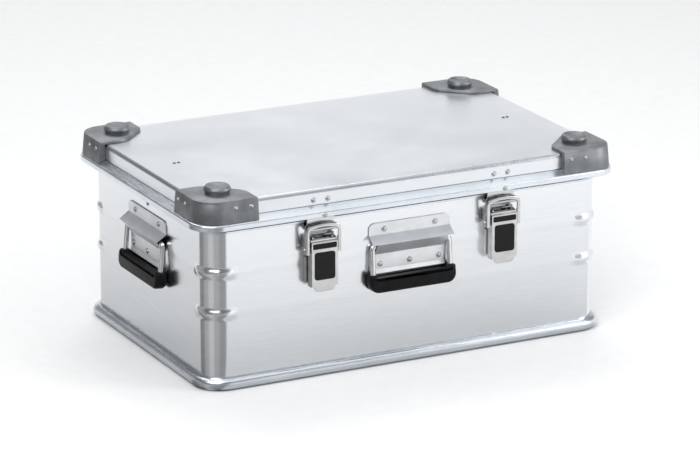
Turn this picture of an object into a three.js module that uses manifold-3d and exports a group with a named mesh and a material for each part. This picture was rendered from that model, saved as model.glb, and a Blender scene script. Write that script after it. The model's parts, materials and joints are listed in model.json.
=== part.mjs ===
// Aluminium stacking transport case with a hinged lid, two toggle latches and three drop handles.
// Millimetres, +Z up, X along the front. Origin: centre of the footprint, on the floor.
import * as THREE from 'three';
import { mergeVertices } from 'three/addons/utils/BufferGeometryUtils.js';
import Module from 'manifold-3d';

const wasm = await Module();
wasm.setup();

// ---------------------------------------------------------------- driving dimensions

const gap = 0.3; // clearance between pieces that touch
const sheet = 1.5; // thickness of the wall and lid sheets

// Overall. The brim of the lid is the widest part of the case.
const brimLength = 600;
const brimWidth = 400;
const stackHeight = 250; // floor to the top face of the stacking corners
const brimRadius = 35;
const brimOverhang = 19; // brim edge to the outer face of the wall

// Wall
const wallRadius = 28;
const wallBottom = 4;
const wallTop = 203;
const beadHeights = [98, 151];
const beadHalfHeight = 9;
const beadDepth = 3;
const beadRunOut = 14; // how far a bead runs past the corner bend
const bendSteps = 6; // facets round a corner

// Base frame and panel
const footHalf = 4;
const noseHeight = 15.5;
const noseReach = 10;
const flangeReach = 16;
const flangeBottom = 12;
const flangeThickness = 2.5;
const basePanelThickness = 2;

// Rim on top of the wall
const rimLip = 4; // inner face of the lip, inward from the wall's outer face
const rimLipDepth = 11;
const rimInner = 14;
const rimOuter = 1.5;
const rimThickness = 2.7;

// Lid seal
const sealInner = 12;
const sealOuter = 2;
const sealThickness = 2.7;

// Lid frame, measured inward from the brim edge and upward from the floor
const lipBottom = 212.6;
const lipThickness = 2;
const shoulderHeight = 218;
const shoulderRadius = 2.5;
const skirtInset = 12;
const ledgeHeight = 226; // where the skirt stands on the brim
const webThickness = 2.2;
const webTop = 238;
const footFlangeThickness = 2.2;
const brimThickness = 2.4;

// Lid panel
const lidTop = 246;
const lidEdgeRadius = 5;

// Stacking corners
const castLeg = 82; // from the brim edge to the end of a leg
const castInsetBottom = 2;
const castInsetTop = 5;
const castShoulder = 42; // width of a leg's end on top
const castEdge = 2;
const bossInset = 45; // from both brim edges
const bossRadiusFoot = 15;
const bossRadius = 17.4; // at its widest
const bossRadiusTop = 15.2;
const bossHeight = 10;
const bossFoot = 2.2; // height of the boss's straight foot
const bossDish = 1;
const bossRim = 2.6;

// Drop handles. Heights are above the floor, depths are outward from the wall.
const bracketHalf = 58;
const bracketLowerHalf = 50;
const bracketTop = 188.5;
const bracketBend = 173;
const ridgeHeight = 163.5;
const ridgeDepth = 15;
const bracketBottom = 127.5;
const bracketLipDrop = 5;
const bracketLipDepth = 1.7;
const bracketSheet = 1.5;
const bracketCorner = 8;
const wireRadius = 3.5;
const wireSides = 8;
const pivotHeight = 160;
const pivotDepth = 4.6;
const bailHalf = 55; // centre of a leg
const bailBend = 7;
const bailReach = 51; // pivot to the middle of the grip
const bailEnd = 24; // where the wire's end stops inside the bracket
const gripHalf = 61;
const gripDepth = 16;
const gripHeight = 19.5;
const gripEar = 4; // how far the ends of the grip climb up the legs
const gripCorner = 12;
const gripBevel = 4;
const gripClearance = 1.2; // back of the grip to the wall at rest

// Toggle latches
const latchOffset = 128.5; // from the middle of the case
const leverHalf = 18.4;
const leverFront = 19;
const leverSheet = 2;
const leverTop = 175;
const leverBottom = 122;
const tongueHalf = 14.5;
const tongueDrop = 6;
const tongueFlare = 2;
const pivotPin = { depth: 8, height: 181, radius: 2.2 };
const bowPin = { depth: 10, height: 170, radius: 2 };
const latchPinClearance = 0.3;
const flangeBack = 3;
const earHalf = 14.5;
const earRadius = 6;
const baseHalf = 20.7;
const baseCheekDepth = 6; // side flanges of the base, outside the lever
const baseCheekTop = 160;
const baseCheekSheet = 1.5;
const baseBottom = 126;
const baseTop = 187;
const baseSheet = 2;
const bowHalf = 24.5;
const bowSheet = 2;
const bowArm = 3;
const bowCorner = 9;
const bowLip = 8; // height of the bow's top bar
const bowTop = 207;
const bowFront = 16.5;
const hookBack = 9.5;
const armRadius = 5;
const keeperHalf = 19;
const keeperBottom = 193;
const keeperSheet = 2;
const keeperNose = 1.2;
const labelHalfWidth = 14;
const labelBottom = 131.5;
const labelTop = 168.5;
const labelCorner = 3;
const labelThickness = 0.7;

// Hinges
const hingeOffset = 175;
const hingeHalf = 32;
const hingeDepth = 21.5; // axis, outward from the wall
const hingeHeight = 203;
const knuckleRadius = 3.5;
const hingePinRadius = 1.8;
const hingePinClearance = 0.25;
const middleKnuckleHalf = 12;
const leafSheet = 2;
const leafBottom = 168;
const leafTop = 243;

// Lid straps
const strapBracket = { x: 240, half: 11, depth: 9, drop: 8, sheet: 2 };
const strapAnchor = { height: 192, half: 12, reach: 9, sheet: 2 };
const strap = { half: 11, sheet: 1.5, bend: 79 }; // bend: where the folded strap starts its loop

// ---------------------------------------------------------------- worked out from them

const wallHalfX = brimLength / 2 - brimOverhang;
const wallHalfY = brimWidth / 2 - brimOverhang;
const rimBottom = wallTop + gap;
const rimTop = rimBottom + rimThickness;
const sealBottom = rimTop + gap;
const frameBottom = sealBottom + sealThickness + gap;
const webOuter = skirtInset + sheet + gap; // outer face of the lid frame's web, inward from the brim edge
const webInner = webOuter + webThickness;
const footInner = brimOverhang + rimInner;
const panelBottom = flangeBottom + flangeThickness + gap;
const castTop = stackHeight;
const bracketLowerBend = pivotHeight - 5.5 - 2 * wireRadius; // the ridge clears the wire behind it

// ---------------------------------------------------------------- solids

// A geometry's surface as a solid, and back.
function solid(geometry) {
  const bare = geometry.clone();
  bare.deleteAttribute('normal');
  bare.deleteAttribute('uv');
  const merged = mergeVertices(bare, 1e-4);
  return new wasm.Manifold(new wasm.Mesh({
    numProp: 3,
    vertProperties: new Float32Array(merged.attributes.position.array),
    triVerts: new Uint32Array(merged.index.array),
  }));
}

function surface(body) {
  const { vertProperties, triVerts } = body.getMesh();
  const geometry = new THREE.BufferGeometry();
  geometry.setAttribute('position', new THREE.BufferAttribute(vertProperties, 3));
  geometry.setIndex(new THREE.BufferAttribute(triVerts, 1));
  const flat = geometry.toNonIndexed();
  flat.computeVertexNormals();
  return flat;
}

const join = (...parts) => surface(parts.map(solid).reduce((a, b) => a.add(b)));
const cut = (part, ...tools) => surface(tools.map(solid).reduce((a, b) => a.subtract(b), solid(part)));
const common = (a, b) => surface(solid(a).intersect(solid(b)));

// A rounded rectangle centred on the origin.
function roundedOutline(halfX, halfY, radius) {
  const shape = new THREE.Shape();
  shape.absarc(halfX - radius, halfY - radius, radius, 0, Math.PI / 2);
  shape.absarc(radius - halfX, halfY - radius, radius, Math.PI / 2, Math.PI);
  shape.absarc(radius - halfX, radius - halfY, radius, Math.PI, 1.5 * Math.PI);
  shape.absarc(halfX - radius, radius - halfY, radius, 1.5 * Math.PI, 2 * Math.PI);
  return shape;
}

// A flat outline raised from one height to another.
function plate(shape, bottom, top, curveSegments = bendSteps / 2) {
  return new THREE.ExtrudeGeometry(shape, { depth: top - bottom, bevelEnabled: false, curveSegments })
    .translate(0, 0, bottom);
}

// A section of [depth, height] points drawn out along X.
function drawn(section, from, to) {
  const shape = Array.isArray(section)
    ? new THREE.Shape(section.map(([y, z]) => new THREE.Vector2(y, z)))
    : section;
  const turn = new THREE.Matrix4().makeBasis(
    new THREE.Vector3(0, 1, 0),
    new THREE.Vector3(0, 0, 1),
    new THREE.Vector3(1, 0, 0),
  );
  return new THREE.ExtrudeGeometry(shape, { depth: to - from, bevelEnabled: false, curveSegments: 5 })
    .applyMatrix4(turn)
    .translate(from, 0, 0);
}

// A block whose front outline has its two upper corners rounded.
function arched(half, bottom, top, radius) {
  const shape = new THREE.Shape();
  shape.moveTo(-half, bottom);
  shape.lineTo(half, bottom);
  shape.absarc(half - radius, top - radius, radius, 0, Math.PI / 2);
  shape.absarc(radius - half, top - radius, radius, Math.PI / 2, Math.PI);
  return new THREE.ExtrudeGeometry(shape, { depth: 60, bevelEnabled: false, curveSegments: 3 })
    .rotateX(Math.PI / 2)
    .translate(0, 40, 0);
}

// A round bar along X.
function rod(radius, from, to, depth, height, sides = 16) {
  return new THREE.CylinderGeometry(radius, radius, to - from, sides)
    .rotateZ(Math.PI / 2)
    .translate((from + to) / 2, depth, height);
}

// Places round a rounded rectangle, counterclockwise: a centre, an outward direction, and a weight
// that is 1 in the corner bends and falls to 0 at the end of a run-out along the straights.
function placesAround(halfX, halfY, radius, runOut = 0) {
  const places = [];
  const corners = [[1, 1], [-1, 1], [-1, -1], [1, -1]];
  corners.forEach(([signX, signY], quarter) => {
    const centreX = signX * (halfX - radius);
    const centreY = signY * (halfY - radius);
    const add = (angle, along, weight) => places.push({
      x: centreX - Math.sin(angle) * along,
      y: centreY + Math.cos(angle) * along,
      outX: Math.cos(angle),
      outY: Math.sin(angle),
      radius,
      weight,
    });
    const start = quarter * Math.PI / 2;
    if (runOut) {
      add(start, -runOut, 0);
      add(start, -runOut / 2, 0.5);
    }
    for (let step = 0; step <= bendSteps; step++) add(start + step / bendSteps * Math.PI / 2, 0, 1);
    if (runOut) {
      add(start + Math.PI / 2, runOut / 2, 0.5);
      add(start + Math.PI / 2, runOut, 0);
    }
  });
  return places;
}

// A ring whose section is a closed list of [outward, height, swell] points. The swell is added to
// the outward distance by a place's weight.
function ring(section, places) {
  const closed = [...section, section[0]];
  const points = closed.map(([outward, height]) => new THREE.Vector2(outward, height));
  const geometry = new THREE.LatheGeometry(points, places.length);
  const position = geometry.attributes.position;
  for (let i = 0; i < position.count; i++) {
    const place = places[Math.floor(i / closed.length) % places.length];
    const [outward, height, swell = 0] = closed[i % closed.length];
    const reach = place.radius + outward + swell * place.weight;
    position.setXYZ(i, place.x + place.outX * reach, place.y + place.outY * reach, height);
  }
  return geometry;
}

// A round wire along a path.
function wire(path, radius, steps) {
  const circle = new THREE.Shape();
  circle.absarc(0, 0, radius, 0, 2 * Math.PI);
  return new THREE.ExtrudeGeometry(circle, {
    steps,
    extrudePath: path,
    bevelEnabled: false,
    curveSegments: wireSides / 2,
  });
}

// ---------------------------------------------------------------- finishes

const finishes = {
  wall: { color: 0xd9dde1, roughness: 0.35, metalness: 0.9 },
  profile: { color: 0xc3c8ce, roughness: 0.3, metalness: 0.9 },
  lid: { color: 0xd4d9dd, roughness: 0.45, metalness: 0.85 },
  casting: { color: 0x85888b, roughness: 0.6, metalness: 0.6 },
  bracket: { color: 0xc9ccd0, roughness: 0.35, metalness: 0.9 },
  wire: { color: 0xd8dadd, roughness: 0.2, metalness: 1 },
  grip: { color: 0x15161a, roughness: 0.5, metalness: 0 },
  latch: { color: 0xc4c6c8, roughness: 0.22, metalness: 1 },
  label: { color: 0x101112, roughness: 0.4, metalness: 0 },
  seal: { color: 0x2b2d30, roughness: 0.8, metalness: 0 },
  strap: { color: 0x1d1e20, roughness: 0.9, metalness: 0 },
};
for (const finish of Object.keys(finishes)) {
  finishes[finish] = new THREE.MeshStandardMaterial({ name: finish, ...finishes[finish] });
}

function piece(parent, name, geometry, finish) {
  const mesh = new THREE.Mesh(geometry, finishes[finish]);
  mesh.name = name;
  parent.add(mesh);
  return mesh;
}

// ---------------------------------------------------------------- case body

const group = new THREE.Group();

function buildBody() {
  const around = placesAround(wallHalfX, wallHalfY, wallRadius);
  const beaded = placesAround(wallHalfX, wallHalfY, wallRadius, beadRunOut);

  const risers = [[wallBottom, 0]];
  for (const height of beadHeights) {
    for (const share of [-1, -0.5, 0, 0.5, 1]) {
      const swell = beadDepth * (0.5 + 0.5 * Math.cos(share * Math.PI));
      risers.push([height + share * beadHalfHeight, swell]);
    }
  }
  risers.push([wallTop, 0]);
  const outside = risers.map(([height, swell]) => [0, height, swell]);
  const inside = risers.map(([height, swell]) => [-sheet, height, swell]).reverse();
  piece(group, 'body_shell', ring([...outside, ...inside], beaded), 'wall');

  const noseRadius = noseHeight / 2;
  const nose = [];
  for (let step = 0; step <= 6; step++) {
    const angle = -Math.PI / 2 + step / 6 * Math.PI;
    nose.push([noseReach - noseRadius + noseRadius * Math.cos(angle), noseRadius * (1 + Math.sin(angle))]);
  }
  const innerFace = -(sheet + gap);
  const flangeTop = flangeBottom + flangeThickness;
  piece(group, 'base_frame', ring([
    [-footHalf, 0],
    ...nose,
    [gap, noseHeight],
    [gap, wallBottom - gap],
    [innerFace, wallBottom - gap],
    [innerFace, flangeTop],
    [-flangeReach, flangeTop],
    [-flangeReach, flangeBottom],
    [-footHalf, flangeBottom],
  ], around), 'profile');

  const panelInset = sheet + gap;
  const panelOutline = roundedOutline(
    wallHalfX - panelInset,
    wallHalfY - panelInset,
    wallRadius - panelInset,
  );
  piece(group, 'base_panel', plate(panelOutline, panelBottom, panelBottom + basePanelThickness), 'lid');

  piece(group, 'body_rim', ring([
    [-rimInner, rimBottom],
    [-rimLip, rimBottom],
    [-rimLip, rimBottom - rimLipDepth],
    [innerFace, rimBottom - rimLipDepth],
    [innerFace, rimBottom],
    [rimOuter, rimBottom],
    [rimOuter, rimTop],
    [-rimInner, rimTop],
  ], around), 'profile');
}

// ---------------------------------------------------------------- lid

function buildLid() {
  const aroundWall = placesAround(wallHalfX, wallHalfY, wallRadius);
  piece(group, 'lid_seal', ring([
    [-sealInner, sealBottom],
    [-sealOuter, sealBottom],
    [-sealOuter, sealBottom + sealThickness],
    [-sealInner, sealBottom + sealThickness],
  ], aroundWall), 'seal');

  // The brim slopes down from the skirt to a rounded shoulder and a vertical lip.
  const around = placesAround(brimLength / 2, brimWidth / 2, brimRadius);
  const footTop = frameBottom + footFlangeThickness;
  const shoulderTop = shoulderHeight + shoulderRadius;
  piece(group, 'lid_frame', ring([
    [-footInner, frameBottom],
    [-webOuter, frameBottom],
    [-webOuter, ledgeHeight - brimThickness * 1.3],
    [-2 * lipThickness, shoulderTop - brimThickness],
    [-lipThickness, shoulderHeight - lipThickness],
    [-lipThickness, lipBottom],
    [0, lipBottom],
    [0, shoulderHeight],
    [-0.3 * shoulderRadius, shoulderHeight + 0.7 * shoulderRadius],
    [-0.8 * shoulderRadius, shoulderTop],
    [-skirtInset, ledgeHeight],
    [-webOuter, ledgeHeight],
    [-webOuter, webTop],
    [-webInner, webTop],
    [-webInner, footTop],
    [-footInner, footTop],
  ], around), 'profile');

  const halfX = brimLength / 2 - skirtInset;
  const halfY = brimWidth / 2 - skirtInset;
  const radius = brimRadius - skirtInset;
  const skirtBottom = ledgeHeight + gap;
  const soft = lidEdgeRadius;
  const easedBlock = (inset) => new THREE.ExtrudeGeometry(
    roundedOutline(halfX - soft, halfY - soft, radius - soft),
    {
      depth: lidTop - skirtBottom,
      bevelThickness: soft - inset,
      bevelSize: soft - inset,
      bevelSegments: 3,
      curveSegments: bendSteps / 2,
    },
  ).translate(0, 0, skirtBottom - soft);
  const below = plate(roundedOutline(halfX + 5, halfY + 5, radius), skirtBottom - 3 * soft, skirtBottom);
  piece(group, 'lid_panel', cut(easedBlock(0), below, easedBlock(sheet)), 'lid');
}

// A tapered block on a rounded rectangle, its top edge eased.
function taperedBlock(bottom, top, insetBottom, insetTop, ease) {
  const inset = (height) => insetBottom + (insetTop - insetBottom) * (height - bottom) / (top - bottom);
  const levels = [[bottom, inset(bottom)], [top - ease, inset(top - ease)], [top, insetTop + ease]];
  const places = placesAround(brimLength / 2, brimWidth / 2, brimRadius - insetBottom);
  const centre = brimRadius - insetBottom;
  const wall = levels.map(([height, depth]) => [-depth, height]);
  const rim = ring([[-centre, bottom], ...wall, [-centre, top]], places);
  const coreOutline = roundedOutline(brimLength / 2 - centre + 1, brimWidth / 2 - centre + 1, 1);
  const core = plate(coreOutline, bottom, top, 2);
  return join(rim, core);
}

// Stacking corner: a tapered block over the corner, cut to an outline on top, and hollowed where
// the lid and the brim pass through it.
function buildCorners() {
  const halfX = brimLength / 2 - skirtInset + gap;
  const halfY = brimWidth / 2 - skirtInset + gap;
  const seatOutline = roundedOutline(halfX, halfY, brimRadius - skirtInset);
  const seat = plate(seatOutline, shoulderHeight - 20, lidTop + gap);
  const slope = ring([
    [-skirtInset - 6, shoulderHeight - 20],
    [gap + 6, shoulderHeight - 20],
    [gap + 6, shoulderHeight + shoulderRadius + gap],
    [-0.8 * shoulderRadius, shoulderHeight + shoulderRadius + gap],
    [-skirtInset, ledgeHeight + gap],
    [-skirtInset - 6, ledgeHeight + gap],
  ], placesAround(brimLength / 2, brimWidth / 2, brimRadius));
  const block = taperedBlock(shoulderHeight, castTop, castInsetBottom, castInsetTop, castEdge);
  const shell = cut(block, seat, slope);

  for (const [signX, signY, name] of [[-1, -1, 'front_left'], [1, -1, 'front_right'], [1, 1, 'rear_right'],
    [-1, 1, 'rear_left']]) {
    const cornerX = brimLength / 2;
    const cornerY = brimWidth / 2;
    const outline = new THREE.Shape([
      [-5, -5],
      [castLeg, -5],
      [castLeg, castShoulder - 4],
      [castLeg - 4, castShoulder + 4],
      [castShoulder + 4, castLeg - 4],
      [castShoulder - 4, castLeg],
      [-5, castLeg],
    ].map(([x, y]) => new THREE.Vector2(signX * (cornerX - x), signY * (cornerY - y))));
    const footprint = plate(outline, shoulderHeight - 20, castTop + 20);
    const boss = new THREE.LatheGeometry([
      [0, castTop - 2],
      [bossRadiusFoot, castTop - 2],
      [bossRadiusFoot, castTop + bossFoot],
      [bossRadius, castTop + 0.5 * bossHeight],
      [bossRadius, castTop + 0.65 * bossHeight],
      [bossRadiusTop, castTop + bossHeight],
      [bossRadiusTop - bossRim, castTop + bossHeight],
      [bossRadiusTop - bossRim - 1, castTop + bossHeight - bossDish],
      [0, castTop + bossHeight - bossDish],
    ].map(([r, y]) => new THREE.Vector2(r, y)), 20)
      .rotateX(Math.PI / 2)
      .translate(signX * (cornerX - bossInset), signY * (cornerY - bossInset), 0);
    piece(group, 'corner_' + name, join(common(shell, footprint), boss), 'casting');
  }
}

// ---------------------------------------------------------------- drop handles

// The bracket's section: a plate, a ridge that the wire lies behind, a lower plate and a small lip.
function bracketSection() {
  const back = gap;
  const face = gap + bracketSheet;
  const lean = 1.1; // extra sheet height where the sheet turns
  return {
    upper: [
      [back, bracketTop],
      [back, bracketBend - lean],
      [ridgeDepth - bracketSheet * 1.3, ridgeHeight],
      [ridgeDepth, ridgeHeight],
      [face, bracketBend],
      [face, bracketTop],
    ],
    lower: [
      [ridgeDepth, ridgeHeight + gap / 3],
      [ridgeDepth - bracketSheet * 1.3, ridgeHeight + gap / 3],
      [back, bracketLowerBend + lean],
      [back, bracketBottom],
      [back + bracketLipDepth, bracketBottom - bracketLipDrop],
      [face + bracketLipDepth, bracketBottom - bracketLipDrop],
      [face, bracketBottom],
      [face, bracketLowerBend],
    ],
  };
}

function buildHandle(name, place) {
  const section = bracketSection();
  const front = arched(bracketHalf, bracketBottom - 2 * bracketLipDrop, bracketTop, bracketCorner);
  const upper = common(drawn(section.upper, -bracketHalf, bracketHalf), front);
  const lower = drawn(section.lower, -bracketLowerHalf, bracketLowerHalf);
  piece(place, name + '_handle_bracket', join(upper, lower), 'bracket');

  // The bail hangs from its pivot with the grip's back against the wall, so it leans out a little.
  const gripMiddle = gripClearance + gripDepth / 2;
  const lean = Math.asin((gripMiddle - pivotDepth) / bailReach);
  const swing = new THREE.Group();
  swing.position.set(0, pivotDepth, pivotHeight);
  swing.rotation.x = lean;
  place.add(swing);

  const straight = (a, b) => new THREE.LineCurve3(
    ...[a, b].map(([x, z]) => new THREE.Vector3(x, 0, z)));
  const bend = (a, b, c) => new THREE.QuadraticBezierCurve3(
    ...[a, b, c].map(([x, z]) => new THREE.Vector3(x, 0, z)));
  const side = bailHalf;
  const route = new THREE.CurvePath();
  route.add(straight([-bailEnd, 0], [bailBend - side, 0]));
  route.add(bend([bailBend - side, 0], [-side, 0], [-side, -bailBend]));
  route.add(straight([-side, -bailBend], [-side, bailBend - bailReach]));
  route.add(bend([-side, bailBend - bailReach], [-side, -bailReach], [bailBend - side, -bailReach]));
  route.add(straight([bailBend - side, -bailReach], [side - bailBend, -bailReach]));
  route.add(bend([side - bailBend, -bailReach], [side, -bailReach], [side, bailBend - bailReach]));
  route.add(straight([side, bailBend - bailReach], [side, -bailBend]));
  route.add(bend([side, -bailBend], [side, 0], [side - bailBend, 0]));
  route.add(straight([side - bailBend, 0], [bailEnd, 0]));
  const steps = 56;
  piece(swing, name + '_handle_bail', wire(route, wireRadius, steps), 'wire');

  const low = -bailReach - gripHeight / 2;
  const high = -bailReach + gripHeight / 2;
  const inset = gripBevel;
  const outline = new THREE.Shape();
  outline.absarc(gripHalf - gripCorner, low + gripCorner, gripCorner - inset, -Math.PI / 2, 0);
  outline.lineTo(gripHalf - inset, high + gripEar - inset);
  outline.lineTo(bracketLowerHalf + 1 + inset, high + gripEar - inset);
  outline.lineTo(bracketLowerHalf + inset, high - inset);
  outline.lineTo(-bracketLowerHalf - inset, high - inset);
  outline.lineTo(-bracketLowerHalf - 1 - inset, high + gripEar - inset);
  outline.lineTo(inset - gripHalf, high + gripEar - inset);
  outline.absarc(gripCorner - gripHalf, low + gripCorner, gripCorner - inset, Math.PI, 1.5 * Math.PI);
  const block = new THREE.ExtrudeGeometry(outline, {
    depth: gripDepth - 2 * inset,
    bevelThickness: inset,
    bevelSize: inset,
    bevelSegments: 2,
    curveSegments: 4,
  }).rotateX(Math.PI / 2).translate(0, gripDepth / 2 - inset, 0);
  piece(swing, name + '_handle_grip', cut(block, wire(route, wireRadius + gap, steps)), 'grip');
}

// ---------------------------------------------------------------- toggle latches

function buildLatch(name, place) {
  const pinHole = (pin) => rod(pin.radius + latchPinClearance, -40, 40, pin.depth, pin.height);
  const inner = leverHalf - leverSheet;

  // Base: a plate on the wall with two ears that carry the lever.
  const ear = new THREE.Shape();
  ear.moveTo(gap + baseSheet / 2, pivotPin.height - earRadius);
  ear.absarc(pivotPin.depth, pivotPin.height, earRadius, -Math.PI / 2, Math.PI / 2);
  ear.lineTo(gap + baseSheet / 2, pivotPin.height + earRadius);
  const basePlate = drawn([
    [gap, baseBottom],
    [gap + baseSheet, baseBottom],
    [gap + baseSheet, baseTop],
    [gap, baseTop],
  ], -baseHalf, baseHalf);
  const ears = [-1, 1].map((side) => drawn(ear,
    side < 0 ? -earHalf : earHalf - baseSheet,
    side < 0 ? baseSheet - earHalf : earHalf));
  const cheek = [
    [gap, baseBottom],
    [baseCheekDepth, baseBottom],
    [baseCheekDepth, baseCheekTop],
    [gap, baseCheekTop],
  ];
  const cheeks = [-1, 1].map((side) => drawn(cheek,
    side < 0 ? -baseHalf : baseHalf - baseCheekSheet,
    side < 0 ? baseCheekSheet - baseHalf : baseHalf));
  piece(place, name + '_latch_base', cut(join(basePlate, ...cheeks, ...ears), pinHole(pivotPin)), 'latch');

  // Lever: a front plate with two side flanges and a finger tongue at its foot.
  const face = [
    [leverFront - leverSheet, leverBottom],
    [leverFront, leverBottom],
    [leverFront, leverTop],
    [leverFront - leverSheet, leverTop],
  ];
  const tongue = [
    [leverFront - leverSheet, leverBottom + 4],
    [leverFront - leverSheet, leverBottom],
    [leverFront - leverSheet + tongueFlare, leverBottom - tongueDrop],
    [leverFront + tongueFlare, leverBottom - tongueDrop],
    [leverFront, leverBottom],
    [leverFront, leverBottom + 4],
  ];
  const flange = new THREE.Shape();
  flange.moveTo(flangeBack, leverBottom + 6);
  flange.lineTo(flangeBack + 5, leverBottom);
  flange.lineTo(leverFront - leverSheet / 2, leverBottom);
  flange.lineTo(leverFront - leverSheet / 2, leverTop);
  flange.lineTo(pivotPin.depth + 4, pivotPin.height + 3.5);
  flange.absarc(pivotPin.depth, pivotPin.height, 5, Math.PI / 4, Math.PI);
  const flanges = [-1, 1].map((side) => drawn(flange,
    side < 0 ? -leverHalf : inner,
    side < 0 ? -inner : leverHalf));
  const lever = join(
    drawn(face, -leverHalf, leverHalf),
    drawn(tongue, -tongueHalf, tongueHalf),
    ...flanges,
  );
  piece(place, name + '_latch_lever', cut(lever, pinHole(pivotPin), pinHole(bowPin)), 'latch');
  piece(place, name + '_latch_lever_pin',
    rod(pivotPin.radius, -leverHalf, leverHalf, pivotPin.depth, pivotPin.height, 12), 'latch');
  piece(place, name + '_latch_bow_pin',
    rod(bowPin.radius, -bowHalf - 1, bowHalf + 1, bowPin.depth, bowPin.height, 12), 'latch');

  // Bow: a folded bar in front of the keeper's nose, on two arms that turn on the lever's lower pin.
  const bar = [
    [bowFront, bowTop - bowLip],
    [bowFront, bowTop - 3],
    [bowFront - 1, bowTop - 1],
    [bowFront - 3, bowTop],
    [hookBack, bowTop],
    [hookBack, bowTop - bowLip],
    [hookBack + bowSheet, bowTop - bowLip],
    [hookBack + bowSheet, bowTop - bowSheet],
    [bowFront - bowSheet - 1, bowTop - bowSheet],
    [bowFront - bowSheet, bowTop - bowSheet - 1.5],
    [bowFront - bowSheet, bowTop - bowLip],
  ];
  const arm = new THREE.Shape();
  arm.moveTo(bowFront - bowSheet / 2, bowTop - bowSheet / 2);
  arm.lineTo(hookBack + bowSheet / 2, bowTop - bowSheet / 2);
  arm.lineTo(hookBack + bowSheet / 2, bowTop - bowLip - 4);
  arm.lineTo(bowPin.depth - armRadius, bowPin.height + armRadius);
  arm.absarc(bowPin.depth, bowPin.height, armRadius, Math.PI, 2 * Math.PI);
  arm.lineTo(bowPin.depth + armRadius, bowPin.height + armRadius);
  arm.lineTo(bowFront - bowSheet / 2, bowTop - bowLip - 4);
  const arms = [-1, 1].map((side) => drawn(arm,
    side < 0 ? -bowHalf : bowHalf - bowArm,
    side < 0 ? bowArm - bowHalf : bowHalf));
  const front = arched(bowHalf, bowPin.height - 2 * armRadius, bowTop, bowCorner);
  const bow = common(join(drawn(bar, -bowHalf, bowHalf), ...arms), front);
  piece(place, name + '_latch_bow', cut(bow, pinHole(bowPin)), 'latch');

  // Keeper: a plate hung from the lid frame, with a rounded nose at its foot.
  const keeperBack = brimOverhang - webOuter + gap;
  const keeperFace = keeperBack + keeperSheet;
  piece(place, name + '_latch_keeper', drawn([
    [keeperBack, keeperBottom + 1.5],
    [keeperBack + 1, keeperBottom],
    [keeperFace, keeperBottom],
    [keeperFace + keeperNose, keeperBottom + 1.5],
    [keeperFace + keeperNose, keeperBottom + 5.5],
    [keeperFace, keeperBottom + 7],
    [keeperFace, lipBottom + 3.5],
    [keeperBack, lipBottom + 3.5],
  ], -keeperHalf, keeperHalf), 'latch');

  const label = roundedOutline(labelHalfWidth, (labelTop - labelBottom) / 2, labelCorner);
  piece(place, name + '_latch_label', new THREE.ExtrudeGeometry(label, {
    depth: labelThickness,
    bevelEnabled: false,
    curveSegments: 4,
  }).rotateX(Math.PI / 2)
    .translate(0, leverFront + gap + labelThickness, (labelTop + labelBottom) / 2), 'label');
}

// ---------------------------------------------------------------- hinges

function buildHinge(name, place) {
  const boreRadius = hingePinRadius + hingePinClearance;
  const bore = rod(boreRadius, -hingeHalf - 5, hingeHalf + 5, hingeDepth, hingeHeight);
  const knuckle = (from, to) => rod(knuckleRadius, from, to, hingeDepth, hingeHeight);
  const armTop = hingeHeight - knuckleRadius + leafSheet;
  const armBottom = hingeHeight - knuckleRadius;

  // Lower leaf: a plate on the wall, an arm out under the brim, and the two outer knuckles.
  const lowerSection = [
    [gap, leafBottom],
    [gap + leafSheet, leafBottom],
    [gap + leafSheet, armBottom],
    [hingeDepth, armBottom],
    [hingeDepth, armTop],
    [gap, armTop],
  ];
  const window = drawn([
    [hingeDepth - knuckleRadius - 1, armBottom - 5],
    [hingeDepth + 10, armBottom - 5],
    [hingeDepth + 10, armTop + 20],
    [hingeDepth - knuckleRadius - 1, armTop + 20],
  ], -middleKnuckleHalf - gap, middleKnuckleHalf + gap);
  const lower = join(
    drawn(lowerSection, -hingeHalf, hingeHalf),
    knuckle(-hingeHalf, -middleKnuckleHalf - gap),
    knuckle(middleKnuckleHalf + gap, hingeHalf),
  );
  piece(place, name + '_hinge_lower_leaf', cut(lower, window, bore), 'latch');

  // Upper leaf: the middle knuckle, a strap up the lip, over the brim and onto the skirt.
  const lipFace = brimOverhang + gap;
  const skirtFace = brimOverhang - skirtInset + gap;
  const overShoulder = shoulderHeight + shoulderRadius;
  const upperSection = [
    [lipFace, hingeHeight],
    [lipFace + leafSheet, hingeHeight],
    [lipFace + leafSheet, overShoulder + 1.5],
    [skirtFace + leafSheet + 1, ledgeHeight + 4],
    [skirtFace + leafSheet, leafTop],
    [skirtFace, leafTop],
    [skirtFace, ledgeHeight + 2],
    [lipFace, overShoulder + 0.5],
  ];
  const wide = drawn(upperSection, -middleKnuckleHalf, middleKnuckleHalf);
  piece(place, name + '_hinge_upper_leaf',
    cut(join(wide, knuckle(-middleKnuckleHalf, middleKnuckleHalf)), bore), 'latch');
  piece(place, name + '_hinge_pin',
    rod(hingePinRadius, -hingeHalf, hingeHalf, hingeDepth, hingeHeight, 12), 'latch');
}

// ---------------------------------------------------------------- lid straps' fittings

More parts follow.
